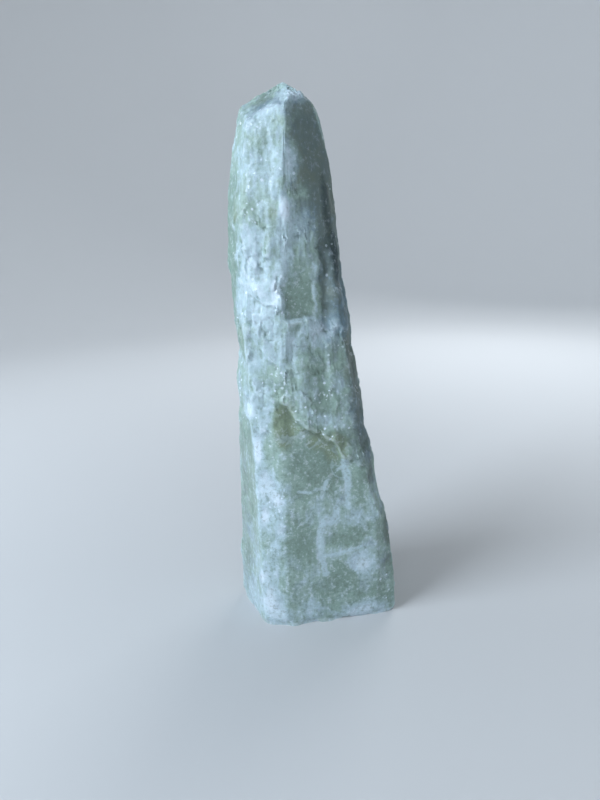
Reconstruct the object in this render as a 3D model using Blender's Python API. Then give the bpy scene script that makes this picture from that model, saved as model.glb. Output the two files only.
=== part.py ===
"""Raw soapstone: a tall, rough wedge of green and white stone standing on its sawn base.

The stone is one solid. Eight edge lines run up it, and the faces are stretched between
them, closed by a flat base and a broken, sloping top. Three cleavage planes take flat
facets off the top and the back, and a relief of ledges, hollows, ribs and chips
roughens the rest.
"""
import bpy
import bmesh
from math import atan2, acos, exp, pi, radians
from mathutils import Matrix, Vector, noise

# All sizes below are in millimetres, +X right, +Y to the back, +Z up
MM = 0.001
PEAK = Vector((-8.0, 8.0, 292.0))
PLAN_CENTRE = Vector((0.4, 7.7, 0.0))

# Edge lines of the stone from the base up, each point as (height, x, y)
LEFT_EDGE = [
    (0, -46.0, 12.5), (40, -44.3, 12.0), (88, -43.3, 11.5), (114, -42.0, 11.0), (135, -41.1, 11.0),
    (154, -39.8, 10.5), (165, -41.0, 10.5), (201, -43.0, 10.0), (230, -42.0, 9.5), (247, -40.0, 9.0),
    (263, -37.4, 9.0), (276, -34.0, 8.5), (284, -32.5, 8.5)]
KNEE_EDGE = [
    (0, -30.0, -22.5), (60, -31.0, -18.5), (120, -32.5, -16.5), (180, -33.5, -14.5), (230, -33.0, -12.5),
    (262, -30.0, -10.5), (280, -26.0, -8.5)]
FRONT_EDGE = [
    (0, -16.0, -24.5), (43, -16.6, -23.5), (114, -15.3, -22.0), (180, -14.4, -19.5), (236, -13.0, -17.0),
    (262, -10.5, -15.5), (280, -8.5, -13.5)]
RIDGE_EDGE = [
    (0, 36.5, -15.0), (40, 36.0, -14.5), (66, 35.2, -14.0), (74, 32.6, -14.0), (100, 28.8, -13.5),
    (129, 22.5, -12.5), (166, 18.0, -11.5), (190, 14.5, -10.5), (216, 11.5, -9.5), (262, 5.0, -8.0),
    (280, 1.0, -7.0)]
RIGHT_EDGE = [
    (0, 48.6, -11.0), (28, 46.7, -9.0), (56, 43.0, -7.0), (67, 41.0, -6.0), (73, 37.8, -5.0),
    (97, 33.6, -3.5), (125, 28.8, -3.0), (149, 25.8, -2.5), (182, 20.6, -1.5), (217, 15.8, -0.5),
    (249, 12.7, 0.5), (265, 11.0, 1.0), (274, 9.8, 1.5), (284, 6.0, 3.0)]
BACK_RIGHT_EDGE = [
    (0, 38.0, 31.0), (90, 29.0, 29.0), (190, 15.0, 25.0), (255, 6.5, 20.0), (280, 3.0, 17.0)]
BACK_EDGE = [
    (0, 2.0, 39.0), (80, -1.0, 38.5), (150, -8.0, 35.0), (225, -13.0, 30.0), (280, -14.0, 22.0)]
BACK_LEFT_EDGE = [
    (0, -31.0, 34.0), (90, -33.0, 31.0), (180, -32.0, 28.0), (250, -29.0, 25.0), (280, -26.0, 19.0)]

# Each edge line with the number of mesh columns on the face that follows it
EDGES = [
    (LEFT_EDGE, 10), (KNEE_EDGE, 6), (FRONT_EDGE, 15), (RIDGE_EDGE, 5), (RIGHT_EDGE, 12),
    (BACK_RIGHT_EDGE, 11), (BACK_EDGE, 9), (BACK_LEFT_EDGE, 8)]
COLUMNS = sum(count for line, count in EDGES)
EDGE_ROUNDING = 0.45

# Height of the broken rim round the top, as (column, height)
RIM = [(0, 283.0), (10, 278.0), (16, 281.0), (31, 282.0), (36, 281.0), (48, 280.0), (59, 282.0),
       (68, 283.0), (COLUMNS, 283.0)]
TOP_DOMING = 1.15

# Rows of the mesh: base from its middle out, sides up to the rim, top in to the peak
BASE_ROWS = 3
SIDE_ROWS = 53
TOP_ROWS = 8
ROWS = BASE_ROWS + SIDE_ROWS + TOP_ROWS

# Share of the side's height that each row reaches: close together at the base and the ledges
SIDE_ROW_SHARES = [(0, 0.0), (3, 0.028), (15, 0.325), (41, 0.70), (SIDE_ROWS, 1.0)]

# Cleavage planes, each as a point on it and the way it faces
TOP_RIGHT_FACET = (Vector((6.9, -11.8, 216.0)), Vector((0.604, -0.784, 0.142)))
TOP_FRONT_FACET = (Vector((-20.0, -5.0, 279.1)), Vector((-0.418, -0.474, 0.775)))
BACK_SPLIT = (Vector((6.0, 29.5, 150.0)), Vector((0.46, 0.86, 0.22)))
CLEAVAGE = [TOP_RIGHT_FACET, TOP_FRONT_FACET, BACK_SPLIT]
CLEAVAGE_ROUNDING = 0.8

# The left faces turn into the front one about this far to the left
FRONT_FACE_X = -15.0
FACE_BLEND = 3.0

# Crust over the sawn lower front: it ends in a ledge that runs down to the right, as (x, height)
LEDGE = [(-17, 135.0), (-9, 123.0), (-2, 118.5), (4, 115.5), (10, 109.5), (15, 103.5), (30, 92.0)]
LEDGE_DEPTH = 3.6
LEDGE_LIP = 2.0
LEDGE_FADE_FROM, LEDGE_FADE_TO = 12.0, 26.0
UNDERCUT_HEIGHT = 34.0
CRUST_HEIGHT = 55.0

# Smooth recess above the crust, with a sharp sill and a head that runs out softly
WINDOW_LEFT, WINDOW_RIGHT = -13.0, 5.0
WINDOW_SILL, WINDOW_HEAD = 177.0, 205.0
WINDOW_DEPTH = 2.0
SILL_LIP, JAMB_LIP, HEAD_RUN_OUT = 1.5, 2.5, 10.0

# Upright groove right of the recess
GROOVE_X = 9.0
GROOVE_WIDTH = 3.2
GROOVE_FOOT, GROOVE_HEAD = 169.0, 222.0
GROOVE_DEPTH = 3.2
GROOVE_RUN_OUT = 6.0

# Round hollow where the ledge begins
HOLLOW = Vector((-12.5, -22.0, 124.0))
HOLLOW_SIZE = Vector((4.5, 9.0, 11.0))
HOLLOW_DEPTH = 2.6

# Relief over the whole stone: size of each kind of form and how far it stands out
LUMP_SIZE, LUMP_HEIGHT = 24.0, 1.0
RIB_WIDTH, RIB_LENGTH, RIB_HEIGHT = 6.5, 42.0, 1.3
CHIP_SIZE, CHIP_HEIGHT = 17.0, 1.0
FLAKE_SIZE, FLAKE_HEIGHT = 9.0, 1.1
BASE_CHIP_SIZE, BASE_CHIP_DEPTH, BASE_CHIP_RISE = 9.0, 1.8, 7.0

# Where in the endless chip pattern the stone lies
CHIP_PLACE = Vector((1.0, 3.0, -1.0))
FLAKE_PLACE = Vector((7.0, 2.0, 4.0))

# How much each chip tilts, how much it steps from its neighbours, and how softly they meet
CHIP_TILT, CHIP_STEP, CHIP_BLEND = 1.6, 0.5, 0.6

# The faces turned away from the front are split, not sawn: their forms stand out this much more
SPLIT_FACE_GAIN = 1.5

# The left faces are nearly smooth below this height, and rough above it
LEFT_CALM_HEIGHT = 113.0
LEFT_CALM_BLEND = 20.0
LEFT_CALM = 0.75

# The top is worn: from this height up, over this distance, forms lose this share of their height
WORN_FROM, WORN_OVER, WORN_SHARE = 250.0, 25.0, 0.6

# Colour of the stone as one flat tone, and its dull, waxy finish
STONE_COLOUR = (0.31, 0.43, 0.38, 1.0)
STONE_ROUGHNESS = 0.46


def ramp(value, start, end):
    """Rise smoothly from 0 at start to 1 at end."""
    share = min(max((value - start) / (end - start), 0.0), 1.0)
    return share * share * (3.0 - 2.0 * share)


def read_line(line, where):
    """Read a broken line of (where, values...) at one place along it."""
    if where <= line[0][0]:
        return line[0][1:]
    for low, high in zip(line, line[1:]):
        if where <= high[0]:
            share = (where - low[0]) / (high[0] - low[0])
            return tuple(a + (b - a) * share for a, b in zip(low[1:], high[1:]))
    return line[-1][1:]


def section_point(column, height):
    """Point on the stone's outline at a height, between the two edge lines round a column."""
    column %= COLUMNS
    for index, (line, count) in enumerate(EDGES):
        if column <= count:
            break
        column -= count
    next_line = EDGES[(index + 1) % len(EDGES)][0]
    start = Vector(read_line(line, height))
    end = Vector(read_line(next_line, height))
    return start.lerp(end, column / count).to_3d() + Vector((0, 0, height))


def rounded_point(column, height):
    """The same point with the edge lines slightly rounded off."""
    before = section_point(column - EDGE_ROUNDING, height)
    after = section_point(column + EDGE_ROUNDING, height)
    return (before + 2.0 * section_point(column, height) + after) / 4.0


def base_point(column, share):
    """Point on the flat base, from its middle at share 0 to its edge at 1."""
    return PLAN_CENTRE.lerp(rounded_point(column, 0.0), share)


def top_point(column, share):
    """Point on the domed top, from the rim at share 0 to the peak at 1."""
    rim = rounded_point(column, read_line(RIM, column)[0])
    point = rim.lerp(PEAK, share)
    point.z = rim.z + (PEAK.z - rim.z) * (1.0 - (1.0 - share) ** TOP_DOMING)
    return point


def form_point(column, row):
    """Point on the stone's plain form for a column and a row counted from the base's middle."""
    if row <= BASE_ROWS:
        return base_point(column, row / BASE_ROWS)
    row -= BASE_ROWS
    if row <= SIDE_ROWS:
        share = read_line(SIDE_ROW_SHARES, row)[0]
        return rounded_point(column, share * read_line(RIM, column)[0])
    return top_point(column, (row - SIDE_ROWS) / TOP_ROWS)


def cleave(point):
    """Bring a point that stands past a cleavage plane back onto it, softly at the plane's edge."""
    for on_plane, facing in CLEAVAGE:
        past = (point - on_plane).dot(facing)
        if past > CLEAVAGE_ROUNDING:
            point = point - past * facing
        elif past > -CLEAVAGE_ROUNDING:
            point = point - (past + CLEAVAGE_ROUNDING) ** 2 / (4.0 * CLEAVAGE_ROUNDING) * facing
    return point


def chipped(point, size, place):
    """Flat chips as broken stone shows them: each cell of the pattern is a tilted plane."""
    spot = point / size + place
    distances, centres = noise.voronoi(spot)
    heights = []
    for centre in centres[:2]:
        tilt = 2.0 * noise.cell_vector(centre * 9.0) - Vector((1, 1, 1))
        heights.append((spot - centre).dot(tilt) * CHIP_TILT + noise.noise(centre * 7.7) * CHIP_STEP)
    share = 0.5 + 0.5 * ramp(distances[1] - distances[0], 0.0, CHIP_BLEND)
    return heights[0] * share + heights[1] * (1.0 - share)


def faces_front(facing, least):
    """1 where the surface is turned to the front, falling to 0 where it is turned away."""
    return ramp(-facing.y, least, least + 0.35)


def right_of_front_edge(point):
    """0 on the left faces, 1 on the front face and past it."""
    return ramp(point.x, FRONT_FACE_X - FACE_BLEND, FRONT_FACE_X + FACE_BLEND)


def above_ledge(point):
    """Height of a point over the ledge at its own place across the front."""
    return point.z - read_line(LEDGE, point.x)[0]


def window_mask(point, facing):
    """1 inside the smooth recess above the crust."""
    across = ramp(point.x, WINDOW_LEFT - JAMB_LIP, WINDOW_LEFT + JAMB_LIP)
    across *= 1.0 - ramp(point.x, WINDOW_RIGHT - JAMB_LIP, WINDOW_RIGHT + JAMB_LIP)
    upright = ramp(point.z, WINDOW_SILL - SILL_LIP, WINDOW_SILL + SILL_LIP)
    upright *= 1.0 - ramp(point.z, WINDOW_HEAD - HEAD_RUN_OUT, WINDOW_HEAD + HEAD_RUN_OUT)
    return across * upright * faces_front(facing, 0.3)


def calmness(point, facing):
    """How smooth the stone is at a point: 1 on the sawn front and the flat facet, 0 on rough stone."""
    sawn = faces_front(facing, 0.55) * ramp(-above_ledge(point), -LEDGE_LIP, LEDGE_LIP)
    sawn *= right_of_front_edge(point)
    low = 1.0 - ramp(point.z, LEFT_CALM_HEIGHT - LEFT_CALM_BLEND, LEFT_CALM_HEIGHT + LEFT_CALM_BLEND)
    left = LEFT_CALM * low * faces_front(facing, -0.1) * (1.0 - right_of_front_edge(point))
    on_plane, plane_facing = TOP_RIGHT_FACET
    facet = ramp(facing.dot(plane_facing), 0.95, 0.99) * ramp(point.z, on_plane.z - 11.0, on_plane.z + 9.0)
    return max(sawn, left, facet, window_mask(point, facing))


def ledge_relief(point, facing):
    """Crust standing out above the ledge, and the face cut back under it."""
    above = above_ledge(point)
    front = faces_front(facing, 0.5) * right_of_front_edge(point)
    front *= 1.0 - ramp(point.x, LEDGE_FADE_FROM, LEDGE_FADE_TO)
    over = ramp(above, -LEDGE_LIP, LEDGE_LIP)
    crust = over * (1.0 - ramp(above, 0.2 * CRUST_HEIGHT, CRUST_HEIGHT))
    undercut = (1.0 - over) * (1.0 - ramp(-above, 0.1 * UNDERCUT_HEIGHT, UNDERCUT_HEIGHT))
    return LEDGE_DEPTH / 2.0 * front * (crust - undercut)


def groove_relief(point, facing):
    """Upright groove beside the smooth recess."""
    across = exp(-((point.x - GROOVE_X) / GROOVE_WIDTH) ** 2)
    upright = ramp(point.z, GROOVE_FOOT - GROOVE_RUN_OUT, GROOVE_FOOT + GROOVE_RUN_OUT)
    upright *= 1.0 - ramp(point.z, GROOVE_HEAD - 2.0 * GROOVE_RUN_OUT, GROOVE_HEAD + GROOVE_RUN_OUT)
    return -GROOVE_DEPTH * across * upright * faces_front(facing, 0.3)


def hollow_relief(point):
    """Round hollow at the start of the ledge."""
    offset = point - HOLLOW
    scaled = Vector((offset.x / HOLLOW_SIZE.x, offset.y / HOLLOW_SIZE.y, offset.z / HOLLOW_SIZE.z))
    return -HOLLOW_DEPTH * exp(-scaled.length_squared)


def base_chips(point):
    """Small breaks along the bottom edge, which take it in a little from the faces."""
    fade = 1.0 - ramp(point.z, 0.0, BASE_CHIP_RISE)
    broken = ramp(noise.noise(point / BASE_CHIP_SIZE), -0.5, 0.4)
    return -BASE_CHIP_DEPTH * broken * fade * fade


def relief(point, facing):
    """How far the stone stands out from its plain form at a point."""
    rough = 1.0 - calmness(point, facing)
    split = 1.0 + SPLIT_FACE_GAIN * ramp(facing.y, -0.1, 0.5)
    lumps = LUMP_HEIGHT * noise.noise(point / LUMP_SIZE) * (0.3 + 0.7 * rough) * split
    grain = Vector((point.x / RIB_WIDTH, point.y / RIB_WIDTH, point.z / RIB_LENGTH))
    ribs = RIB_HEIGHT * noise.noise(grain)
    chips = CHIP_HEIGHT * chipped(point, CHIP_SIZE, CHIP_PLACE) * split
    flakes = FLAKE_HEIGHT * chipped(point, FLAKE_SIZE, FLAKE_PLACE)
    worn = 1.0 - WORN_SHARE * ramp(point.z, WORN_FROM, WORN_FROM + WORN_OVER)
    broken_forms = (lumps + (ribs + chips + flakes) * rough) * worn
    named_forms = ledge_relief(point, facing) + groove_relief(point, facing) + hollow_relief(point)
    return broken_forms + named_forms - WINDOW_DEPTH * window_mask(point, facing) + base_chips(point)


def stone_mesh():
    """Shape a ball of quads into the stone: first its plain form, then the relief on it."""
    ball = bmesh.new()
    bmesh.ops.create_uvsphere(ball, u_segments=COLUMNS, v_segments=ROWS, radius=1.0)
    rows = {}
    for vert in ball.verts:
        column = round(atan2(vert.co.y, vert.co.x) / (2.0 * pi) * COLUMNS)
        row = round((1.0 - acos(max(-1.0, min(1.0, vert.co.z))) / pi) * ROWS)
        rows[vert] = row
        vert.co = form_point(column % COLUMNS, row)
        if row > BASE_ROWS:
            vert.co = cleave(vert.co)
    ball.normal_update()
    heights = {}
    for vert, row in rows.items():
        if row >= BASE_ROWS:
            heights[vert] = relief(vert.co, vert.normal)
    for vert, height in heights.items():
        outward = vert.normal.copy()
        outward.z *= ramp(vert.co.z, 0.0, 2.0 * BASE_CHIP_RISE)
        vert.co += outward.normalized() * height
    bmesh.ops.translate(ball, verts=ball.verts, vec=-PLAN_CENTRE)
    bmesh.ops.transform(ball, verts=ball.verts, matrix=Matrix.Scale(MM, 4))
    bmesh.ops.triangulate(ball, faces=ball.faces, quad_method="SHORT_EDGE")
    mesh = bpy.data.meshes.new("soapstone")
    ball.to_mesh(mesh)
    ball.free()
    return mesh


def stone_material():
    """Dull, waxy green stone."""
    material = bpy.data.materials.new("soapstone")
    material.use_nodes = True
    shader = material.node_tree.nodes["Principled BSDF"]
    shader.inputs["Base Color"].default_value = STONE_COLOUR
    shader.inputs["Roughness"].default_value = STONE_ROUGHNESS
    shader.inputs["Metallic"].default_value = 0.0
    return material


def main():
    for old in list(bpy.data.objects):
        bpy.data.objects.remove(old, do_unlink=True)
    group = bpy.data.collections.new("raw soapstone")
    bpy.context.scene.collection.children.link(group)
    mesh = stone_mesh()
    mesh.shade_smooth()
    mesh.set_sharp_from_angle(angle=radians(30.0))
    mesh.materials.append(stone_material())
    stone = bpy.data.objects.new("soapstone", mesh)
    group.objects.link(stone)


main()
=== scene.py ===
"""Raw soapstone: a rough green and white stone on its sawn base, lit on a pale studio floor."""

from math import acos, atan2, exp, pi, radians

import bmesh
import bpy
from mathutils import Matrix, Vector, noise


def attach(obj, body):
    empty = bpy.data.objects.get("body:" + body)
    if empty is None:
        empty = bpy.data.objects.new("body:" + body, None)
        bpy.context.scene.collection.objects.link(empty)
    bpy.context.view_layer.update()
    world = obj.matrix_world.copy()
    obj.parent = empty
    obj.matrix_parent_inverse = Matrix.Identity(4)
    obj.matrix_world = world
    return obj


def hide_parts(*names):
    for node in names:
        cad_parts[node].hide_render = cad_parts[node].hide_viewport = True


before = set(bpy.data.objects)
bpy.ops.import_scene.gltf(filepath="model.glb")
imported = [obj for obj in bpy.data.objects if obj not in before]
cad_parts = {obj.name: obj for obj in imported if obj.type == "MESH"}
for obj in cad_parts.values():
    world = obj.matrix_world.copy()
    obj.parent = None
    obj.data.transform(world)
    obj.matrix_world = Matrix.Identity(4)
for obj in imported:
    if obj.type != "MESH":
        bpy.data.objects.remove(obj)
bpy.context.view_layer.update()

# Soapstone
# One rough block of green stone clouded with white, sawn flat underneath and over its lower
# front, and broken everywhere else. It is shaped from the edge lines and the relief that the
# solid has, on a finer mesh, with splinters, fibres and crystal crust added between them.

# Sizes are in millimetres, +X right, +Y to the back, +Z up, until the mesh is moved to the frame
MM = 0.001
PEAK = Vector((-8.0, 8.0, 292.0))
PLAN_CENTRE = Vector((0.4, 7.7, 0.0))

# Edge lines of the stone from the base up, each point as (height, x, y)
LEFT_EDGE = [
    (0, -46.0, 12.5), (40, -44.3, 12.0), (88, -43.3, 11.5), (114, -42.0, 11.0), (135, -41.1, 11.0),
    (154, -39.8, 10.5), (165, -41.0, 10.5), (201, -43.0, 10.0), (230, -42.0, 9.5), (247, -40.0, 9.0),
    (263, -37.4, 9.0), (276, -34.0, 8.5), (284, -32.5, 8.5)]
KNEE_EDGE = [
    (0, -30.0, -22.5), (60, -31.0, -18.5), (120, -32.5, -16.5), (180, -33.5, -14.5),
    (230, -33.0, -12.5), (262, -30.0, -10.5), (280, -26.0, -8.5)]
FRONT_EDGE = [
    (0, -16.0, -24.5), (43, -16.6, -23.5), (114, -15.3, -22.0), (180, -14.4, -19.5),
    (236, -13.0, -17.0), (262, -10.5, -15.5), (280, -8.5, -13.5)]
RIDGE_EDGE = [
    (0, 36.5, -15.0), (40, 36.0, -14.5), (66, 35.2, -14.0), (74, 32.6, -14.0), (100, 28.8, -13.5),
    (129, 22.5, -12.5), (166, 18.0, -11.5), (190, 14.5, -10.5), (216, 11.5, -9.5), (262, 5.0, -8.0),
    (280, 1.0, -7.0)]
RIGHT_EDGE = [
    (0, 48.6, -11.0), (28, 46.7, -9.0), (56, 43.0, -7.0), (67, 41.0, -6.0), (73, 37.8, -5.0),
    (97, 33.6, -3.5), (125, 28.8, -3.0), (149, 25.8, -2.5), (182, 20.6, -1.5), (217, 15.8, -0.5),
    (249, 12.7, 0.5), (265, 11.0, 1.0), (274, 9.8, 1.5), (284, 6.0, 3.0)]
BACK_RIGHT_EDGE = [
    (0, 38.0, 31.0), (90, 29.0, 29.0), (190, 15.0, 25.0), (255, 6.5, 20.0), (280, 3.0, 17.0)]
BACK_EDGE = [
    (0, 2.0, 39.0), (80, -1.0, 38.5), (150, -8.0, 35.0), (225, -13.0, 30.0), (280, -14.0, 22.0)]
BACK_LEFT_EDGE = [
    (0, -31.0, 34.0), (90, -33.0, 31.0), (180, -32.0, 28.0), (250, -29.0, 25.0), (280, -26.0, 19.0)]

# Each edge line with the number of steps across the face that follows it
EDGES = [
    (LEFT_EDGE, 10), (KNEE_EDGE, 6), (FRONT_EDGE, 15), (RIDGE_EDGE, 5), (RIGHT_EDGE, 12),
    (BACK_RIGHT_EDGE, 11), (BACK_EDGE, 9), (BACK_LEFT_EDGE, 8)]
STEPS_ROUND = sum(count for line, count in EDGES)

# How far round each edge line the outline is averaged, in steps, with the share of each place. The
# front one is averaged farther between the heights where it is broken, and by a share of that below
EDGE_ROUNDING = 0.45
ROUNDING_SHARES = ((-1.0, 0.11), (-0.5, 0.22), (0.0, 0.34), (0.5, 0.22), (1.0, 0.11))
FRONT_STEP, FRONT_ROUNDING, FRONT_SAWN_SHARE = 16, 1.5, 0.5
FRONT_BROKEN_FROM, FRONT_BROKEN_TO, FRONT_BROKEN_BLEND = 148.0, 226.0, 12.0

# Height of the broken rim round the top, as (step round, height)
RIM = [(0, 283.0), (10, 278.0), (16, 281.0), (31, 282.0), (36, 281.0), (48, 280.0), (59, 282.0),
       (68, 283.0), (STEPS_ROUND, 283.0)]
TOP_DOMING = 1.15

# Mesh: columns in each step round, and rows over the base, up the sides and in over the top
COLUMNS_A_STEP = 4
BASE_ROWS, SIDE_ROWS, TOP_ROWS = 6, 260, 32
ROWS = BASE_ROWS + SIDE_ROWS + TOP_ROWS

# Cleavage planes, each as a point on it and the way it faces
TOP_RIGHT_FACET = (Vector((6.9, -11.8, 216.0)), Vector((0.604, -0.784, 0.142)))
TOP_FRONT_FACET = (Vector((-20.0, -5.0, 279.1)), Vector((-0.418, -0.474, 0.775)))
BACK_SPLIT = (Vector((6.0, 29.5, 150.0)), Vector((0.46, 0.86, 0.22)))
CLEAVAGE = [TOP_RIGHT_FACET, TOP_FRONT_FACET, BACK_SPLIT]
CLEAVAGE_ROUNDING = 1.8

# The left faces turn into the front one about this far to the left
FRONT_FACE_X = -15.0
FACE_BLEND = 5.0

# How far a face has to be turned to the front for each kind of form, and where it is fully so
FORM_FACING, LEDGE_FACING, SAWN_FACING, LEFT_FACING = 0.3, 0.5, 0.55, -0.1
FACING_BLEND = 0.35

# Crust over the sawn lower front: it ends in a ledge that runs down to the right, as (x, height)
LEDGE = [(-17, 135.0), (-9, 123.0), (-2, 118.5), (4, 115.5), (10, 109.5), (15, 103.5), (30, 92.0)]
LEDGE_DEPTH, LEDGE_LIP = 3.6, 2.0
LEDGE_FADE_FROM, LEDGE_FADE_TO = 12.0, 26.0
UNDERCUT_FULL, UNDERCUT_HEIGHT = 3.4, 34.0
CRUST_FULL, CRUST_HEIGHT = 11.0, 55.0

# Smooth recess above the crust, with a sharp sill and a head that runs out softly
WINDOW_LEFT, WINDOW_RIGHT = -13.0, 5.0
WINDOW_SILL, WINDOW_HEAD = 177.0, 205.0
WINDOW_DEPTH = 2.0
SILL_LIP, JAMB_LIP, HEAD_RUN_OUT = 2.0, 3.0, 10.0
WINDOW_WANDER_ACROSS, WINDOW_WANDER_UP = 0.6, 0.4

# Upright groove right of the recess
GROOVE_X, GROOVE_WIDTH, GROOVE_DEPTH = 9.0, 3.2, 3.2
GROOVE_FOOT, GROOVE_HEAD, GROOVE_RUN_OUT = 169.0, 222.0, 6.0
GROOVE_WANDER = 0.4

# Hollows, each as a middle, a half size and a depth: where the ledge begins, and in the right edge.
# The last one has a depth below 0: it is a small white knob on the front edge
HOLLOWS = [
    ((-13.0, -22.0, 123.0), (6.5, 9.0, 11.0), 2.0),
    ((16.0, -4.0, 196.0), (3.0, 6.0, 4.0), 1.6),
    ((22.5, -4.0, 158.0), (3.0, 6.0, 5.0), 0.9),
    ((-11.5, -17.0, 231.5), (2.2, 5.0, 4.5), -0.9)]

# Broad relief, which the solid has too: size of each kind of form and how far it stands out
LUMP_SIZE, LUMP_HEIGHT, LUMPS_ON_SMOOTH = 24.0, 1.0, 0.3
RIB_SIZE, RIB_HEIGHT = Vector((6.5, 6.5, 42.0)), 1.1
CHIP_SIZE, CHIP_HEIGHT = Vector((17.0, 17.0, 17.0)), 0.9
FLAKE_SIZE, FLAKE_HEIGHT = Vector((9.0, 9.0, 9.0)), 0.9
BASE_CHIP_SIZE, BASE_CHIP_DEPTH, BASE_CHIP_RISE = 9.0, 1.8, 7.0
BASE_CHIP_FROM, BASE_CHIP_TO = -0.5, 0.4
CHIP_PLACE = Vector((1.0, 3.0, -1.0))
FLAKE_PLACE = Vector((7.0, 2.0, 4.0))
CHIP_TILT, CHIP_STEP, CHIP_BLEND = 1.6, 0.5, 0.35
TILT_SPREAD, STEP_SPREAD = 9.0, 7.7

# The faces turned away to the back were split, so they are rougher by this gain
SPLIT_FACE_GAIN, SPLIT_FROM, SPLIT_TO = 1.5, -0.1, 0.5

# How smooth the low left faces are and how high they reach, the heights over which the flat facet
# is smooth, and how closely a face there has to lie along it
LEFT_CALM_HEIGHT, LEFT_CALM_BLEND, LEFT_CALM = 113.0, 20.0, 0.85
FACET_CALM_FROM, FACET_CALM_TO = 205.0, 225.0
FACET_FACING_FROM, FACET_FACING_TO = 0.95, 0.99

# The top is worn: from this height up, over this distance, it loses this share of its relief
WORN_FROM, WORN_OVER, WORN_SHARE = 210.0, 60.0, 0.6

# The left and right edges are less broken than the faces beside them, by this share: on the left
# past these places, on the right within these distances of the edge
EDGE_WORN = 0.5
LEFT_WORN_FROM, LEFT_WORN_TO = -36.0, -42.0
RIGHT_WORN_NEAR, RIGHT_WORN_FAR = 2.0, 10.0

# The ledge and the recess have no ruled edge: it runs to and fro this far, over this distance,
# with a share of finer ripples on it
WANDER, WANDER_SIZE = 5.0, 10.0
RIPPLE_SHARE, RIPPLES = 0.4, 3.0

# Loose crystals along the ledge and at the peak: their size, how far they stand out, how far up
# from the ledge they reach, and the height where those at the peak begin
CRUMB_SIZE, CRUMB_HEIGHT, CRUMB_REACH = Vector((3.4, 3.4, 3.4)), 0.9, 16.0
CRUMB_LIP = 2.0
PEAK_CRUMBS_FROM, PEAK_CRUMBS_OVER, PEAK_CRUMBS_SHARE = 282.0, 6.0, 0.6

# Fine relief between those forms
SPLINTER_SIZE, SPLINTER_HEIGHT = Vector((5.5, 5.5, 12.0)), 0.38
SPLINTER_PLACE = Vector((2.0, 5.0, 3.0))
CRYSTAL_SIZE, CRYSTAL_HEIGHT = Vector((2.8, 2.8, 3.8)), 0.16
CRYSTAL_PLACE = Vector((4.0, 1.0, 8.0))
FIBRE_SIZE, FIBRE_HEIGHT = Vector((2.2, 2.2, 20.0)), 0.16
PIT_SIZE, PIT_DEPTH, PIT_FROM, PIT_TO = 4.0, 0.3, 0.15, 0.5
SWELL_SIZE, SWELL_HEIGHT = 9.0, 0.4

# Mean height of the facet pattern, taken off so that it makes the stone no thicker
FACET_MEAN = 0.55


def ramp(value, start, end):
    """Rise smoothly from 0 at start to 1 at end."""
    share = min(max((value - start) / (end - start), 0.0), 1.0)
    return share * share * (3.0 - 2.0 * share)


def read_line(line, where):
    """Read a broken line of (where, values...) at one place along it."""
    if where <= line[0][0]:
        return line[0][1:]
    for low, high in zip(line, line[1:]):
        if where <= high[0]:
            share = (where - low[0]) / (high[0] - low[0])
            return tuple(a + (b - a) * share for a, b in zip(low[1:], high[1:]))
    return line[-1][1:]


def section_point(step, height):
    """Point on the stone's outline at a height, between the two edge lines round a step."""
    step %= STEPS_ROUND
    for index, (line, count) in enumerate(EDGES):
        if step <= count:
            break
        step -= count
    next_line = EDGES[(index + 1) % len(EDGES)][0]
    start = Vector(read_line(line, height))
    end = Vector(read_line(next_line, height))
    return start.lerp(end, step / count).to_3d() + Vector((0, 0, height))


def rounded_point(step, height):
    """The same point with the edge lines rounded off, the front one more where it is broken."""
    blend = FRONT_BROKEN_BLEND
    broken = ramp(height, FRONT_BROKEN_FROM - blend, FRONT_BROKEN_FROM + blend)
    broken *= 1.0 - ramp(height, FRONT_BROKEN_TO - blend, FRONT_BROKEN_TO + blend)
    sawn = FRONT_SAWN_SHARE * (1.0 - ramp(height, FRONT_BROKEN_FROM - blend, FRONT_BROKEN_TO))
    beside = 1.0 - ramp(abs(step - FRONT_STEP), FRONT_ROUNDING, 2.0 * FRONT_ROUNDING)
    reach = EDGE_ROUNDING + FRONT_ROUNDING * max(broken, sawn) * beside
    points = [share * section_point(step + place * reach, height) for place, share in ROUNDING_SHARES]
    return sum(points, Vector((0, 0, 0)))


def top_point(step, share):
    """Point on the domed top, from the rim at share 0 to the peak at 1."""
    rim = rounded_point(step, read_line(RIM, step)[0])
    point = rim.lerp(PEAK, share)
    point.z = rim.z + (PEAK.z - rim.z) * (1.0 - (1.0 - share) ** TOP_DOMING)
    return point


def form_point(step, row):
    """Point on the stone's plain form for a step round and a row counted from the base's middle."""
    if row <= BASE_ROWS:
        return PLAN_CENTRE.lerp(rounded_point(step, 0.0), row / BASE_ROWS)
    row -= BASE_ROWS
    if row <= SIDE_ROWS:
        return rounded_point(step, row / SIDE_ROWS * read_line(RIM, step)[0])
    return top_point(step, (row - SIDE_ROWS) / TOP_ROWS)


def cleave(point):
    """Bring a point that stands past a cleavage plane back onto it, softly at the plane's edge."""
    for on_plane, facing in CLEAVAGE:
        past = (point - on_plane).dot(facing)
        if past > CLEAVAGE_ROUNDING:
            point = point - past * facing
        elif past > -CLEAVAGE_ROUNDING:
            point = point - (past + CLEAVAGE_ROUNDING) ** 2 / (4.0 * CLEAVAGE_ROUNDING) * facing
    return point


def shrunk(point, size):
    """A point measured in forms of one size."""
    return Vector((point.x / size.x, point.y / size.y, point.z / size.z))


def cell_plane(spot, centre, tilting, stepping):
    """Height at a spot of the tilted plane that one cell of a pattern has."""
    tilt = 2.0 * noise.cell_vector(centre * TILT_SPREAD) - Vector((1, 1, 1))
    return (spot - centre).dot(tilt) * tilting + noise.noise(centre * STEP_SPREAD) * stepping


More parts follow.
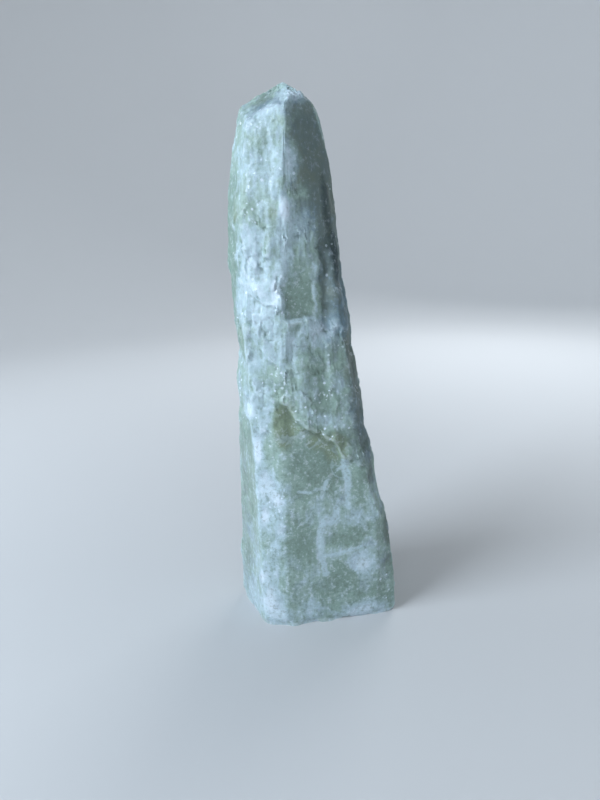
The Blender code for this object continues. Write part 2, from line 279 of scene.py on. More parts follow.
def chipped(point, size, place):
    """Flat chips as broken stone shows them: each cell of the pattern is a tilted plane."""
    spot = shrunk(point, size) + place
    distances, centres = noise.voronoi(spot)
    near, next_near = [cell_plane(spot, centre, CHIP_TILT, CHIP_STEP) for centre in centres[:2]]
    share = 0.5 + 0.5 * ramp(distances[1] - distances[0], 0.0, CHIP_BLEND)
    return near * share + next_near * (1.0 - share)


def faceted(point, size, place):
    """Flat facets that meet in sharp edges: the highest of the planes round a point."""
    spot = shrunk(point, size) + place
    return max(cell_plane(spot, centre, 1.0, 1.0) for centre in noise.voronoi(spot)[1]) - FACET_MEAN


def wander(point):
    """How far an edge strays to one side at a point."""
    ripple = RIPPLE_SHARE * noise.noise(point * RIPPLES / WANDER_SIZE)
    return WANDER * (noise.noise(point / WANDER_SIZE) + ripple)


def faces_front(facing, least):
    """1 where the surface is turned to the front, falling to 0 where it is turned away."""
    return ramp(-facing.y, least, least + FACING_BLEND)


def right_of_front_edge(point):
    """0 on the left faces, 1 on the front face and past it."""
    return ramp(point.x, FRONT_FACE_X - FACE_BLEND, FRONT_FACE_X + FACE_BLEND)


def above_ledge(point):
    """Height of a point over the ledge at its own place across the front."""
    return point.z + wander(point) - read_line(LEDGE, point.x)[0]


def window_mask(point, facing):
    """1 inside the smooth recess above the crust."""
    x = point.x + WINDOW_WANDER_ACROSS * wander(point)
    z = point.z + WINDOW_WANDER_UP * wander(point)
    across = ramp(x, WINDOW_LEFT - JAMB_LIP, WINDOW_LEFT + JAMB_LIP)
    across *= 1.0 - ramp(x, WINDOW_RIGHT - JAMB_LIP, WINDOW_RIGHT + JAMB_LIP)
    upright = ramp(z, WINDOW_SILL - SILL_LIP, WINDOW_SILL + SILL_LIP)
    upright *= 1.0 - ramp(z, WINDOW_HEAD - HEAD_RUN_OUT, WINDOW_HEAD + HEAD_RUN_OUT)
    return across * upright * faces_front(facing, FORM_FACING)


def calmness(point, facing):
    """How smooth a point is: 1 on the sawn front, the flat facet and the recess, 0 on rough stone."""
    sawn = faces_front(facing, SAWN_FACING) * ramp(-above_ledge(point), -LEDGE_LIP, LEDGE_LIP)
    sawn *= right_of_front_edge(point)
    low = 1.0 - ramp(point.z, LEFT_CALM_HEIGHT - LEFT_CALM_BLEND, LEFT_CALM_HEIGHT + LEFT_CALM_BLEND)
    left = LEFT_CALM * low * faces_front(facing, LEFT_FACING) * (1.0 - right_of_front_edge(point))
    facet = ramp(facing.dot(TOP_RIGHT_FACET[1]), FACET_FACING_FROM, FACET_FACING_TO)
    facet *= ramp(point.z, FACET_CALM_FROM, FACET_CALM_TO)
    return max(min(sawn + left, 1.0), facet, window_mask(point, facing))


def edge_wear(point):
    """Share of the relief that is left at a point: less of it along the left and right edges."""
    left = ramp(point.x, LEFT_WORN_FROM, LEFT_WORN_TO)
    edge = Vector(read_line(RIGHT_EDGE, point.z))
    right = 1.0 - ramp((point.xy - edge).length, RIGHT_WORN_NEAR, RIGHT_WORN_FAR)
    return 1.0 - EDGE_WORN * max(left, right)


def ledge_relief(point, facing):
    """Crust standing out above the ledge, and the face cut back under it."""
    above = above_ledge(point)
    front = faces_front(facing, LEDGE_FACING) * right_of_front_edge(point)
    front *= 1.0 - ramp(point.x, LEDGE_FADE_FROM, LEDGE_FADE_TO)
    over = ramp(above, -LEDGE_LIP, LEDGE_LIP)
    crust = over * (1.0 - ramp(above, CRUST_FULL, CRUST_HEIGHT))
    undercut = (1.0 - over) * (1.0 - ramp(-above, UNDERCUT_FULL, UNDERCUT_HEIGHT))
    return LEDGE_DEPTH / 2.0 * front * (crust - undercut)


def groove_relief(point, facing):
    """Upright groove beside the smooth recess."""
    across = exp(-((point.x + GROOVE_WANDER * wander(point) - GROOVE_X) / GROOVE_WIDTH) ** 2)
    upright = ramp(point.z, GROOVE_FOOT - GROOVE_RUN_OUT, GROOVE_FOOT + GROOVE_RUN_OUT)
    upright *= 1.0 - ramp(point.z, GROOVE_HEAD - 2.0 * GROOVE_RUN_OUT, GROOVE_HEAD + GROOVE_RUN_OUT)
    return -GROOVE_DEPTH * across * upright * faces_front(facing, FORM_FACING)


# How many half sizes a soft spot reaches up and down
SPOT_REACH = 2.5


def soft_spot(point, centre, size):
    """1 at the middle of an oval spot, falling away to nothing at about twice its size."""
    return exp(-shrunk(point - Vector(centre), Vector(size)).length_squared)


def strength(point, spots):
    """Total strength at a point of a list of soft spots, leaving out those far above or below."""
    near = [spot for spot in spots if abs(point.z - spot[0][2]) < SPOT_REACH * spot[1][2]]
    return sum(amount * soft_spot(point, centre, size) for centre, size, amount in near)


def base_chips(point):
    """Small breaks along the bottom edge, which take it in a little from the faces."""
    fade = 1.0 - ramp(point.z, 0.0, BASE_CHIP_RISE)
    broken = ramp(noise.noise(point / BASE_CHIP_SIZE), BASE_CHIP_FROM, BASE_CHIP_TO)
    return -BASE_CHIP_DEPTH * broken * fade * fade


def broad_relief(point, facing, rough, worn):
    """How far the stone stands out from its plain form at a point, in the forms the solid has."""
    split = 1.0 + SPLIT_FACE_GAIN * ramp(facing.y, SPLIT_FROM, SPLIT_TO)
    lumpy = LUMPS_ON_SMOOTH + (1.0 - LUMPS_ON_SMOOTH) * rough
    lumps = LUMP_HEIGHT * noise.noise(point / LUMP_SIZE) * lumpy * split
    ribs = RIB_HEIGHT * noise.noise(shrunk(point, RIB_SIZE))
    chips = CHIP_HEIGHT * chipped(point, CHIP_SIZE, CHIP_PLACE) * split
    flakes = FLAKE_HEIGHT * chipped(point, FLAKE_SIZE, FLAKE_PLACE)
    named_forms = ledge_relief(point, facing) + groove_relief(point, facing)
    named_forms -= strength(point, HOLLOWS) + WINDOW_DEPTH * window_mask(point, facing)
    return (lumps + (ribs + chips + flakes) * rough) * worn + named_forms + base_chips(point)


def fine_relief(point, facing, rough):
    """Splinters, crystals, upright fibres and pits on rough stone, a faint swell on smooth stone."""
    above = above_ledge(point)
    by_ledge = ramp(above, -CRUMB_LIP, CRUMB_LIP) * (1.0 - ramp(above, 0.0, CRUMB_REACH))
    by_ledge *= faces_front(facing, FORM_FACING)
    at_peak = PEAK_CRUMBS_SHARE * ramp(point.z, PEAK_CRUMBS_FROM, PEAK_CRUMBS_FROM + PEAK_CRUMBS_OVER)
    crumbs = CRUMB_HEIGHT * max(by_ledge, at_peak) * faceted(point, CRUMB_SIZE, CRYSTAL_PLACE)
    splinters = SPLINTER_HEIGHT * faceted(point, SPLINTER_SIZE, SPLINTER_PLACE)
    crystals = CRYSTAL_HEIGHT * faceted(point, CRYSTAL_SIZE, CRYSTAL_PLACE)
    fibres = FIBRE_HEIGHT * (0.5 - abs(noise.noise(shrunk(point, FIBRE_SIZE))) * 2.0)
    pits = PIT_DEPTH * ramp(noise.noise(point / PIT_SIZE), PIT_FROM, PIT_TO)
    swell = SWELL_HEIGHT * noise.noise(point / SWELL_SIZE)
    return (splinters + crystals + crumbs + fibres - pits) * rough + swell


# Markings, each as a middle, a half size and a strength: white clouds first
CLOUDS = [
    ((-28, -8, 217), (11, 14, 8), 0.7),
    ((-32, -6, 200), (8, 14, 14), 0.9),
    ((-24, -12, 190), (6, 14, 18), 0.8),
    ((-36, 0, 178), (8, 14, 12), 0.7),
    ((-20, -12, 168), (7, 10, 8), 0.5),
    ((-30, -8, 250), (8, 10, 12), 0.3),
    ((-8, -15, 253), (5, 6, 8), 1.1),
    ((-18, -10, 278), (7, 9, 4), 1.0),
    ((-11, -6, 286), (6, 9, 5), 0.9),
    ((-22, -12, 261), (6, 8, 7), 0.4),
    ((-17, -12, 246), (4, 8, 12), 0.6),
    ((-11.2, -17, 231.5), (2.0, 5, 4.5), 3.5),
    ((-12, -17, 208), (4, 6, 16), 0.9),
    ((-17, -17, 190), (2.5, 6, 9), 1.6),
    ((-12, -18, 181), (3.5, 6, 6), 0.6),
    ((-11, -19, 161), (4.5, 7, 12), 0.6),
    ((-30, -17, 107), (2.5, 6, 8), 2.4),
    ((-33, -12, 129), (3, 8, 7), 1.0),
    ((-24, -16, 134), (6, 8, 10), 0.5),
    ((-25, -18, 119), (4, 6, 6), 0.5),
    ((-27, -20, 85), (6, 6, 9), 1.4),
    ((-20, -20, 78), (3, 6, 5), 1.2),
    ((-28, -20, 68), (4, 6, 5), 1.6),
    ((-22, -21, 50), (3, 6, 4), 0.9),
    ((-30, -20, 30), (3, 6, 4), 0.9),
    ((-19, -22, 62), (3, 6, 9), 1.0),
    ((-27, -22, 17), (5, 6, 10), 1.6),
    ((-20, -22, 8), (5, 6, 8), 1.0),
    ((-25, -22, 38), (7, 6, 14), 0.35),
    ((-41, -6, 92), (6, 10, 12), 0.5),
    ((-41, -6, 50), (6, 10, 12), 0.5),
    ((-41, -6, 14), (8, 10, 14), 0.7),
    ((6, -16, 172), (12, 8, 7), 1.4),
    ((-30, -14, 156), (7, 8, 14), 0.5),
    ((-22, -18, 131), (4, 6, 8), 0.5),
    ((-2, -17, 222), (8, 8, 8), 0.4),
    ((14, -13, 141), (5, 8, 9), 0.4),
    ((17, -8, 177), (4, 8, 11), 0.6),
    ((6, -20, 124), (9, 8, 5), 0.5),
    ((23, -14, 64), (9, 8, 6), 0.7),
    ((27, -14, 34), (6, 8, 6), 1.1),
    ((-3, -22, 11), (5, 8, 7), 0.5),
    ((24, -16, 5), (16, 8, 6), 0.7),
    ((33, -13, 5), (7, 8, 6), 1.1),
    ((-3, -9, 284), (5, 9, 4), 1.4)]

# Deep green patches
GREENS = [
    ((-4, -18, 192), (9, 8, 13), 0.95),
    ((3, -19, 148), (6, 8, 13), 0.5),
    # Darker green under the ledge, partly painted shadow of the crust above it
    ((4, -20, 99), (11, 8, 12), 1.5),
    ((9, -19, 108), (10, 8, 7), 1.4),
    ((-8, -22, 55), (7, 8, 38), 0.5),
    ((19, -18, 52), (10, 8, 4.5), 1.3),
    ((14, -18, 30), (8, 8, 8), 1.0),
    ((-6, -18, 172), (3, 6, 4), 0.4),
    ((27, -14, 84), (4, 8, 14), 0.8),
    ((36, -10, 60), (5, 8, 10), 0.5),
    # Darker green down the left edge and over the low left face, partly painted shade
    ((-41, 4, 213), (4.5, 12, 22), 1.7),
    ((-38, 4, 236), (5, 12, 12), 0.7),
    ((-41, 4, 185), (4, 12, 12), 0.7),
    ((-34, 0, 275), (5, 10, 8), 0.7),
    ((-42, -4, 50), (5, 12, 60), 0.4)]

# Olive patches
OLIVES = [
    ((-15, -22, 122), (6, 9, 12), 2.0),
    # Olive along the ledge's lower edge, partly painted shadow of the crust above it
    ((-2, -22, 118), (6, 8, 4), 0.6),
    ((7, -19, 111), (9, 8, 6), 1.2),
    ((14, -18, 104), (6, 8, 6), 1.1),
    ((-35, -5, 231), (6, 10, 7), 0.6),
    ((-17, -15, 231), (4, 8, 6), 0.6),
    ((-36.5, -5, 167), (3, 10, 8), 0.7),
    ((5, -12, 250), (14, 14, 32), 0.5)]

# Dark stone, partly its own dull colour and partly painted shade: the flat facet at the top, the
# groove, the right-hand faces turned from the light, a painted shadow a little under the ledge, the
# low left face and the crown
DARK_AND_SHADED_SPOTS = [
    ((6.5, -12, 252), (11, 14, 36), 1.1),
    ((3, -11, 266), (6, 10, 16), 0.8),
    ((-4, -13, 271), (5, 8, 9), 0.8),
    ((-3, -15, 236), (5, 8, 8), 0.4),
    ((11, -5, 246), (6, 9, 28), 0.9),
    ((8, -5, 233), (3.5, 6, 15), 1.0),
    ((14, -6, 214), (6, 8, 22), 1.2),
    ((14.5, -5, 203), (3.5, 6, 14), 1.8),
    ((18, -7, 178), (6, 8, 20), 1.4),
    ((23, -8, 146), (5, 8, 20), 2.1),
    ((28, -8, 116), (5, 8, 16), 2.0),
    ((33, -9, 90), (4, 8, 12), 0.7),
    ((42, -9, 48), (5, 8, 26), 0.7),
    ((10, -18, 106), (8, 8, 5), 0.35),
    ((9.5, -14, 197), (3, 10, 28), 1.4),
    ((-43, -2, 60), (7, 12, 60), 0.6),
    ((-21, -4, 282), (10, 14, 6), 0.9)]

# Places where bright crystal grains and their painted glints crowd together
SPARKLES = [
    ((-24, -14, 246), (10, 10, 12), 0.3),
    ((-20, -18, 146), (8, 8, 10), 0.8),
    ((5, -20, 124), (9, 8, 8), 0.9),
    ((-14, -20, 190), (4, 8, 12), 0.6),
    ((-19, -22, 75), (5, 8, 8), 1.0),
    ((8, -16, 165), (10, 8, 10), 0.4),
    ((40, -12, 16), (4, 8, 8), 0.8),
    ((-28, -22, 6), (12, 8, 5), 0.8)]

# Places that the marks of these names are gathered from
SPOTS = {"cloud": CLOUDS, "green": GREENS, "olive": OLIVES, "dark_and_shade": DARK_AND_SHADED_SPOTS, "sparkle": SPARKLES}

# Light veins across the front, each as a half width and its points (x, height)
VEINS = [
    (2.0, [(18.4, 99.0), (18.8, 92.0), (19.2, 80.5), (19.8, 71.3)]),
    (0.8, [(18.7, 97.2), (12.0, 92.0), (6.4, 87.4), (4.8, 78.0)]),
    (0.6, [(-7.0, 83.6), (7.8, 83.2)]),
    (1.8, [(13.6, 76.3), (12.0, 70.2), (10.0, 63.0)]),
    (1.9, [(6.5, 65.5), (3.4, 58.0), (2.6, 48.0), (4.2, 38.0), (6.2, 31.0)]),
    (1.0, [(5.8, 42.5), (17.3, 44.1), (25.9, 45.8), (34.0, 46.1)]),
    (0.5, [(2.8, 206.0), (3.6, 193.0), (4.5, 181.0)]),
    (0.8, [(-11.0, 176.5), (3.0, 177.8)])]
VEIN_REACH = 8.0

# How far a vein strays across and up, as shares of the wander, and how far a face has to be turned
# to the front to show veins
VEIN_WANDER = Vector((0.5, 0.3))
VEIN_FACING = 0.3

# Smoothing turns that give the directions in which the relief stands out, and those that wear the
# stone down to find its crests
DIRECTION_PASSES, CREST_PASSES = 12, 8


def beside_line(point, start, end):
    """Distance across the front from a point to a straight stretch of a vein."""
    along = end - start
    place = point.xz + VEIN_WANDER * wander(point)
    share = min(max((place - start).dot(along) / along.length_squared, 0.0), 1.0)
    return (place - start - share * along).length


def vein_distance(point, facing):
    """Distance from a point to the edge of the nearest light vein, below 0 inside it."""
    nearest = VEIN_REACH
    if -facing.y < VEIN_FACING:
        return nearest
    for half_width, line in VEINS:
        points = [Vector(place) for place in line]
        for start, end in zip(points, points[1:]):
            nearest = min(nearest, beside_line(point, start, end) - half_width)
    return nearest


def evened(ball, passes):
    """A copy of the stone with its edges and relief smoothed away."""
    even = ball.copy()
    for turn in range(passes):
        bmesh.ops.smooth_vert(even, verts=even.verts, factor=0.5,
                              use_axis_x=True, use_axis_y=True, use_axis_z=True)
    even.normal_update()
    return even


def stone_mesh():
    """Shape a ball of quads into the stone, and note each point's markings on it."""
    columns = STEPS_ROUND * COLUMNS_A_STEP
    ball = bmesh.new()
    bmesh.ops.create_uvsphere(ball, u_segments=columns, v_segments=ROWS, radius=1.0)
    marks = {name: ball.verts.layers.float.new(name)
             for name in ("rough", "cloud", "green", "olive", "dark_and_shade", "sparkle", "vein", "crest")}
    rows = {}
    for vert in ball.verts:
        column = round(atan2(vert.co.y, vert.co.x) / (2.0 * pi) * columns) % columns
        row = round((1.0 - acos(max(-1.0, min(1.0, vert.co.z))) / pi) * ROWS)
        rows[vert] = row
        vert.co = form_point(column / COLUMNS_A_STEP, row)
        if row > BASE_ROWS:
            vert.co = cleave(vert.co)
    ball.normal_update()
    heights = {}
    for vert, row in rows.items():
        if row >= BASE_ROWS:
            rough = 1.0 - calmness(vert.co, vert.normal)
            worn = 1.0 - WORN_SHARE * ramp(vert.co.z, WORN_FROM, WORN_FROM + WORN_OVER)
            worn *= edge_wear(vert.co)
            heights[vert] = broad_relief(vert.co, vert.normal, rough, worn)
            heights[vert] += fine_relief(vert.co, vert.normal, rough)
            vert[marks["rough"]] = rough
            vert[marks["vein"]] = vein_distance(vert.co, vert.normal)
            for name, spots in SPOTS.items():
                vert[marks[name]] = strength(vert.co, spots)
    smooth = evened(ball, DIRECTION_PASSES)
    for vert, even in zip(ball.verts, smooth.verts):
        # Near the base the relief stands out level, so that the base stays flat
        outward = even.normal.copy()
        outward.z *= ramp(vert.co.z, 0.0, 2.0 * BASE_CHIP_RISE)
        vert.co += outward.normalized() * heights.get(vert, 0.0)
    smooth.free()
    ball.normal_update()
    worn_down = evened(ball, CREST_PASSES)
    for vert, low in zip(ball.verts, worn_down.verts):
        vert[marks["crest"]] = (vert.co - low.co).dot(vert.normal)
    worn_down.free()
    bmesh.ops.translate(ball, verts=ball.verts, vec=-PLAN_CENTRE)
    bmesh.ops.transform(ball, verts=ball.verts, matrix=Matrix.Scale(MM, 4))
    mesh = bpy.data.meshes.new("raw_soapstone")
    ball.to_mesh(mesh)
    ball.free()
    return mesh


class Wire:
    """An output of a node; sums on wires that carry numbers add Math nodes."""

    def __init__(self, recipe, socket):
        self.recipe = recipe
        self.socket = socket

    def math(self, operation, first, second):
        return self.recipe.node("ShaderNodeMath", {"operation": operation}, {0: first, 1: second})

    def __add__(self, other):
        return self.math("ADD", self, other)

    def __radd__(self, other):
        return self.math("ADD", other, self)

    def __sub__(self, other):
        return self.math("SUBTRACT", self, other)

    def __rsub__(self, other):
        return self.math("SUBTRACT", other, self)

    def __mul__(self, other):
        return self.math("MULTIPLY", self, other)

    def __rmul__(self, other):
        return self.math("MULTIPLY", other, self)


class Recipe:
    """The nodes of one material, added one by one."""

    def __init__(self, name):
        self.material = bpy.data.materials.new(name)
        self.material.use_nodes = True
        self.tree = self.material.node_tree
        self.shader = self.tree.nodes["Principled BSDF"]

    def node(self, kind, settings, values, output=0):
        """Add a node with its settings, then its inputs as numbers, colours or wires."""
        node = self.tree.nodes.new(kind)
        for name, value in settings.items():
            setattr(node, name, value)
        for key, value in values.items():
            self.feed(node.inputs[key], value)
        return Wire(self, node.outputs[output])

    def feed(self, socket, value):
        """Link a wire to a socket, or set the socket to a value."""
        if isinstance(value, Wire):
            self.tree.links.new(value.socket, socket)
        else:
            socket.default_value = value

    def mark(self, name):
        """One of the marks kept on the mesh."""
        return self.node("ShaderNodeAttribute", {"attribute_name": name}, {}, output=2)

    def soft(self, value, start, end, low=0.0, high=1.0):
        """Rise smoothly from low where value is start to high where it is end."""
        return self.node("ShaderNodeMapRange", {"interpolation_type": "SMOOTHSTEP"},
                         {0: value, 1: start, 2: end, 3: low, 4: high})

    def vector(self, operation, first, second):
        return self.node("ShaderNodeVectorMath", {"operation": operation}, {0: first, 1: second})

    def blend(self, share, first, second):
        """Colour that goes from first to second as share goes from 0 to 1."""
        return self.node("ShaderNodeMix", {"data_type": "RGBA"},
                         {0: share, 6: first, 7: second}, output=2)

    def clouding(self, place, size, detail=3.0, roughness=0.5, output=0):
        """Cloudy pattern with forms of one size."""
        values = {"Vector": place, "Scale": 1.0 / size, "Detail": detail, "Roughness": roughness}
        return self.node("ShaderNodeTexNoise", {}, values, output=output)


# Colours of the stone
JADE = (0.31, 0.43, 0.38, 1.0)
DEEP_GREEN = (0.225, 0.325, 0.28, 1.0)
OLIVE = (0.23, 0.30, 0.20, 1.0)
MILK = (0.45, 0.59, 0.66, 1.0)
PALE = (0.53, 0.68, 0.76, 1.0)
SNOW = (0.76, 0.86, 0.96, 1.0)
# Dark colours for dull stone and for painted shade, the bluer one for shaded clouds
SHADED_DULL_GREEN = (0.09, 0.13, 0.135, 1.0)
SHADED_GREY_GREEN = (0.135, 0.17, 0.145, 1.0)
# Near black for painted shadow
PAINTED_SHADOW_COLOUR = (0.035, 0.055, 0.06, 1.0)
SHADED_CLOUD_BLUE = (0.10, 0.175, 0.22, 1.0)
SHADE = (0.13, 0.18, 0.15, 1.0)

# Sizes of the patterns in the stone, how far they drift from straight, and how far the upright
# streaks are drawn out
BROAD_SIZE, MIDDLING_SIZE, STREAK_SIZE = 27.0, 8.0, 2.4
MOTTLE_SIZE, SPECKLE_SIZE, THREAD_SIZE = 2.6, 1.4, 34.0
GLINT_SIZE, CROWD_SIZE, GRAIN_SIZE = 1.3, 14.0, 1.8
DRIFT_SIZE, DRIFT = 15.0, (14.0, 14.0, 14.0)
STREAK_SQUEEZE = (1.0, 1.0, 0.22)
TO_MM = (1000.0, 1000.0, 1000.0)
PATTERN_MEAN = 0.5

# Waxy depth of the stone, its gloss, and the depth of its bumps in metres
WAX_SHARE, WAX_TINT, WAX_DEPTH = 0.25, (0.8, 1.0, 0.9), 0.003
STONE_IOR = 1.55
BUMP_STRENGTH, BUMP_DEPTH = 0.5, 0.0008
SHARP_ANGLE = 32.0


def stone_material():
    """Green stone with milky clouds and veins, bruised white on its edges, duller where it is rough."""
    stone = Recipe("soapstone")
    here = stone.node("ShaderNodeTexCoord", {}, {}, output=3)
    place = stone.vector("MULTIPLY", here, TO_MM)
    drift = stone.clouding(place, DRIFT_SIZE, detail=2.0, output=1)
    drift = stone.vector("SUBTRACT", drift, (PATTERN_MEAN, PATTERN_MEAN, PATTERN_MEAN))
    swirled = stone.vector("ADD", place, stone.vector("MULTIPLY", drift, DRIFT))
    upright = stone.vector("MULTIPLY", place, STREAK_SQUEEZE)

    # How rough and how raised the stone is, and patterns that swing evenly about nothing
    rough = stone.mark("rough")
    crest = stone.mark("crest")
    broad = stone.clouding(swirled, BROAD_SIZE, detail=6.0, roughness=0.6) - PATTERN_MEAN
    middling = stone.clouding(swirled, MIDDLING_SIZE, detail=5.0, roughness=0.65) - PATTERN_MEAN
    streaks = stone.clouding(upright, STREAK_SIZE, detail=4.0, roughness=0.6) - PATTERN_MEAN
    mottle = stone.clouding(place, MOTTLE_SIZE, detail=4.0, roughness=0.7) - PATTERN_MEAN
    speckle = stone.clouding(place, SPECKLE_SIZE, detail=2.0, roughness=0.6) - PATTERN_MEAN

    # Green body with deeper and olive patches
    depth = broad * 0.6 + middling * 0.4 + stone.mark("green") * 0.16
    colour = stone.blend(stone.soft(depth, -0.06, 0.12), JADE, DEEP_GREEN)
    olive = stone.mark("olive") + middling * 2.0
    colour = stone.blend(stone.soft(olive, 0.15, 0.95, high=0.9), colour, OLIVE)

    # Milky clouds, snow white where they are thickest
    clouded = middling * 0.5 - broad * 0.7 + mottle * 0.25 + streaks * (0.3 + rough * 0.1)
    clouded = clouded + stone.mark("cloud") * 0.26
    clouded = clouded - stone.mark("green") * 0.16 - stone.mark("olive") * 0.2
    colour = stone.blend(stone.soft(clouded, -0.08, 0.16, high=0.8), colour, MILK)
    colour = stone.blend(stone.soft(clouded, 0.10, 0.42, high=0.65), colour, SNOW)

    # Light veins that are placed, and fine threads that are not
    vein = stone.mark("vein") + middling * 5.0 + mottle * 3.5
    colour = stone.blend(stone.soft(vein, 0.6, -0.6, high=0.68), colour, PALE)
    wavering = stone.clouding(swirled, THREAD_SIZE, detail=4.0, roughness=0.5) - PATTERN_MEAN
    thread = stone.soft(wavering * wavering, 0.0003, 0.0, high=0.4)
    colour = stone.blend(thread * stone.soft(middling, -0.06, 0.08), colour, PALE)

    # Dark faces, partly dull stone and partly painted shade, bluer where painted shade falls on the
    # clouds
    dark_and_shade = stone.soft(stone.mark("dark_and_shade") + middling * 2.1 + streaks, 0.0, 1.05, high=0.85)
    dark = stone.blend(stone.soft(broad * 0.7 + middling + streaks * 0.4, -0.12, 0.16), SHADED_DULL_GREEN, SHADED_GREY_GREEN)
    dark = stone.blend(stone.soft(clouded, -0.02, 0.24), dark, SHADED_CLOUD_BLUE)
    colour = stone.blend(dark_and_shade, colour, dark)
    # Painted shadow, near black, darkest in the groove, the slit in the right-hand edge and along that
    # edge
    painted_shadow = stone.soft(stone.mark("dark_and_shade") + middling * 2.0, 1.7, 2.8, high=0.85)
    colour = stone.blend(painted_shadow, colour, PAINTED_SHADOW_COLOUR)

    # Sugary grain, white on the high grains and dark between them
    gritty = (mottle + streaks * (0.4 + rough * 0.4) + speckle * 0.5) * (1.25 - rough * 0.5)
    sugary = stone.soft(gritty, 0.03, 0.26, high=0.36) * (1.0 - dark_and_shade * 0.7)
    colour = stone.blend(sugary, colour, SNOW)
    colour = stone.blend(stone.soft(gritty, -0.03, -0.24, high=0.4), colour, SHADE)

    # Edges bruised white, and shade in the creases
    bruised = stone.soft(crest + mottle * 0.3, 0.08, 0.4, high=0.22)
    colour = stone.blend(bruised, colour, SNOW)
    colour = stone.blend(stone.soft(crest, -0.05, -0.45, high=0.4), colour, SHADE)

    # Painted glints: bright round specks for crystals catching the light, one in a few cells of a fine
    # pattern, crowded here and there
    cells = {"Vector": place, "Scale": 1.0 / GLINT_SIZE}
    from_middle = stone.node("ShaderNodeTexVoronoi", {}, cells)
    glint = stone.node("ShaderNodeTexVoronoi", {}, cells, output=1)
    chance = stone.node("ShaderNodeSeparateColor", {}, {0: glint}, output=0)
    whiteness = stone.node("ShaderNodeSeparateColor", {}, {0: glint}, output=1) * 0.7 + 0.3
    crowding = stone.soft(stone.clouding(place, CROWD_SIZE, detail=2.0), 0.52, 0.72, high=0.14)
    crowding = crowding * (0.05 + rough * 0.95) + stone.mark("sparkle") * 0.16
    glinting = stone.soft(chance + crowding, 0.99, 1.02) * stone.soft(from_middle, 0.72, 0.5)
    colour = stone.blend(glinting * whiteness * (1.0 - dark_and_shade * 0.7), colour, SNOW)
    stone.feed(stone.shader.inputs["Base Color"], colour)

    # Duller where it is rough, glossier on the glints, and quite dull in the groove
    dullness = 0.38 + rough * 0.20 + mottle * 0.4 - glinting * 0.25 + painted_shadow * 0.6
    stone.feed(stone.shader.inputs["Roughness"], dullness)

    # Bumps finer than the mesh, with round grains on rough stone
    grains = stone.node("ShaderNodeTexVoronoi", {}, {"Vector": place, "Scale": 1.0 / GRAIN_SIZE})
    relief = mottle * (0.4 + rough * 0.2) + streaks * rough * 0.4 - grains * rough * 0.4
    bump = stone.node("ShaderNodeBump", {},
                      {"Strength": BUMP_STRENGTH, "Distance": BUMP_DEPTH, "Height": relief})
    stone.feed(stone.shader.inputs["Normal"], bump)

    # Light sinks a little way into the stone
    stone.feed(stone.shader.inputs["Subsurface Weight"], WAX_SHARE)
    stone.feed(stone.shader.inputs["Subsurface Radius"], WAX_TINT)
    stone.feed(stone.shader.inputs["Subsurface Scale"], WAX_DEPTH)
    stone.feed(stone.shader.inputs["IOR"], STONE_IOR)
    return stone.material


mesh = stone_mesh()
mesh.shade_smooth()
mesh.set_sharp_from_angle(angle=radians(SHARP_ANGLE))
mesh.materials.append(stone_material())
stone = bpy.data.objects.new("raw_soapstone", mesh)
bpy.context.scene.collection.objects.link(stone)
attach(stone, "root")
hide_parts("soapstone")

# Floor and backdrop
# A plain pale round floor that turns up into a plain pale wall, so that every side of the stone
# has the same quiet ground. It is one outline, spun all the way round.
FLOOR_RADIUS = 1.0
BEND_RADIUS = 0.8
WALL_HEIGHT = 0.5
BOWL_STEPS, BEND_STEPS = 96, 12
FLOOR_COLOUR, FLOOR_ROUGHNESS = (0.57, 0.58, 0.59, 1.0), 0.8
SEAM = 0.0001


def bowl_mesh():
    """Half of the bowl's outline, bent up at the end of the floor, then spun all the way round."""
    bowl = bmesh.new()
    middle = bowl.verts.new((0.0, 0.0, 0.0))
    outer = bmesh.ops.extrude_vert_indiv(bowl, verts=[middle])["verts"]
    bmesh.ops.translate(bowl, verts=outer, vec=(FLOOR_RADIUS, 0.0, 0.0))
    bend = bmesh.ops.spin(bowl, geom=outer, cent=(FLOOR_RADIUS, 0.0, BEND_RADIUS),
                          axis=(0.0, -1.0, 0.0), angle=pi / 2.0, steps=BEND_STEPS)["geom_last"]
    top = bmesh.ops.extrude_vert_indiv(bowl, verts=bend)["verts"]
    bmesh.ops.translate(bowl, verts=top, vec=(0.0, 0.0, WALL_HEIGHT))
    outline = bowl.verts[:] + bowl.edges[:]
    bmesh.ops.spin(bowl, geom=outline, cent=(0.0, 0.0, 0.0), axis=(0.0, 0.0, 1.0),
                   angle=2.0 * pi, steps=BOWL_STEPS, use_merge=True)
    bmesh.ops.remove_doubles(bowl, verts=bowl.verts, dist=SEAM)
    bmesh.ops.recalc_face_normals(bowl, faces=bowl.faces)
    mesh = bpy.data.meshes.new("floor")
    bowl.to_mesh(mesh)
    bowl.free()
    mesh.shade_smooth()
    return mesh


floor_finish = Recipe("floor")
floor_finish.feed(floor_finish.shader.inputs["Base Color"], FLOOR_COLOUR)
floor_finish.feed(floor_finish.shader.inputs["Roughness"], FLOOR_ROUGHNESS)
mesh = bowl_mesh()
mesh.materials.append(floor_finish.material)
floor = bpy.data.objects.new("floor", mesh)
bpy.context.scene.collection.objects.link(floor)

# Light
# Cool, soft daylight from high on the left, as through a large window, weaker lights from the front
# and from behind, one light for each side of the wall, and a dim room all round.
STONE_MIDDLE = Vector((0.0, 0.0, 0.15))

# Each lamp as a name, its place, its width, its power, its colour and the angle it fans out over
LAMPS = [
    ("daylight", (-0.85, -0.45, 0.75), 0.6, 8.5, (0.79, 0.89, 1.0), radians(140.0)),
    ("front_fill", (0.0, -0.9, 0.5), 0.8, 0.9, (0.92, 0.96, 1.0), pi),
    ("back_fill", (0.45, 0.85, 0.6), 0.6, 4.0, (0.92, 0.96, 1.0), pi)]

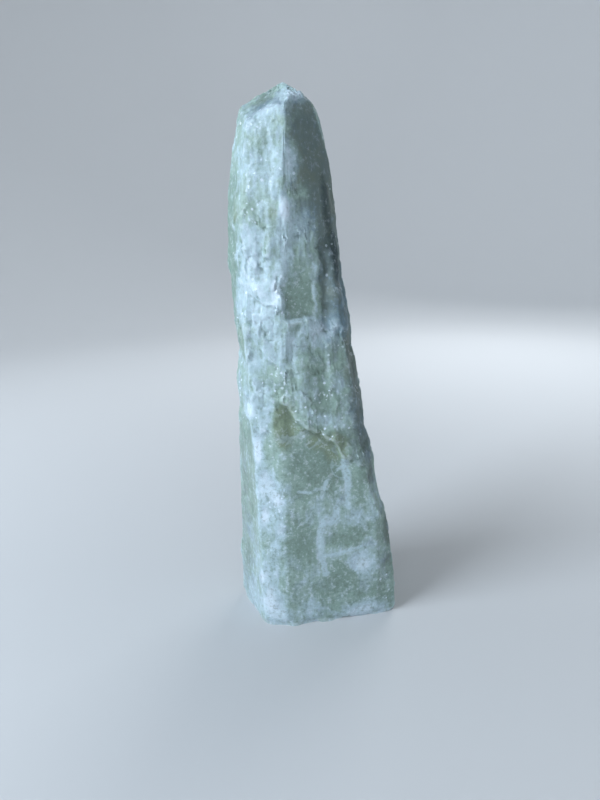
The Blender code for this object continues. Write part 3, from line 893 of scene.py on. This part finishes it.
# The four lights that shine on the wall: how far out and how high they hang, where they point, and
# what they are
WALL_SIDES = [(0.0, 1.0), (1.0, 0.0), (0.0, -1.0), (-1.0, 0.0)]
WALL_LAMP_REACH, WALL_LAMP_HEIGHT = 0.5, 1.0
WALL_REACH, WALL_MIDDLE = 1.8, 0.4
WALL_LAMP_WIDTH, WALL_LAMP_POWER, WALL_LAMP_COLOUR = 0.8, 7.0, (0.88, 0.94, 1.0)

ROOM_COLOUR, ROOM_STRENGTH = (0.78, 0.89, 1.0, 1.0), 0.20


def window_light(name, place, towards, size, power, colour, fan):
    """A square soft light that points at one place and fans out over an angle."""
    light = bpy.data.lights.new(name, "AREA")
    light.size = size
    light.energy = power
    light.color = colour
    light.spread = fan
    lamp = bpy.data.objects.new(name, light)
    lamp.location = place
    lamp.rotation_euler = (towards - Vector(place)).to_track_quat("-Z", "Y").to_euler()
    lamp.visible_camera = False
    bpy.context.scene.collection.objects.link(lamp)


for name, place, size, power, colour, fan in LAMPS:
    window_light(name, place, STONE_MIDDLE, size, power, colour, fan)
for number, (x, y) in enumerate(WALL_SIDES):
    place = (WALL_LAMP_REACH * x, WALL_LAMP_REACH * y, WALL_LAMP_HEIGHT)
    wall = Vector((WALL_REACH * x, WALL_REACH * y, WALL_MIDDLE))
    window_light(f"wall_light_{number}", place, wall, WALL_LAMP_WIDTH, WALL_LAMP_POWER,
                 WALL_LAMP_COLOUR, pi)
room = bpy.data.worlds.new("room")
room.use_nodes = True
room.node_tree.nodes["Background"].inputs["Color"].default_value = ROOM_COLOUR
room.node_tree.nodes["Background"].inputs["Strength"].default_value = ROOM_STRENGTH
bpy.context.scene.world = room
bpy.context.scene.view_settings.view_transform = "Standard"

# Camera
# Held a little above the stone's middle, close in front of it, tipped down and rolled slightly, with
# a wide lens.
CAMERA_PLACE = (-0.0066, -0.3303, 0.2230)
CAMERA_TIP, CAMERA_ROLL = 16.13, -1.60
FILM_WIDTH, LENS = 36.0, 27.0
camera = bpy.data.cameras.new("camera")
camera.sensor_width = FILM_WIDTH
camera.lens = LENS
viewer = bpy.data.objects.new("camera", camera)
tip = Matrix.Rotation(radians(90.0 - CAMERA_TIP), 4, "X")
roll = Matrix.Rotation(radians(CAMERA_ROLL), 4, "Z")
viewer.matrix_world = Matrix.Translation(CAMERA_PLACE) @ tip @ roll
bpy.context.scene.collection.objects.link(viewer)
bpy.context.scene.camera = viewer
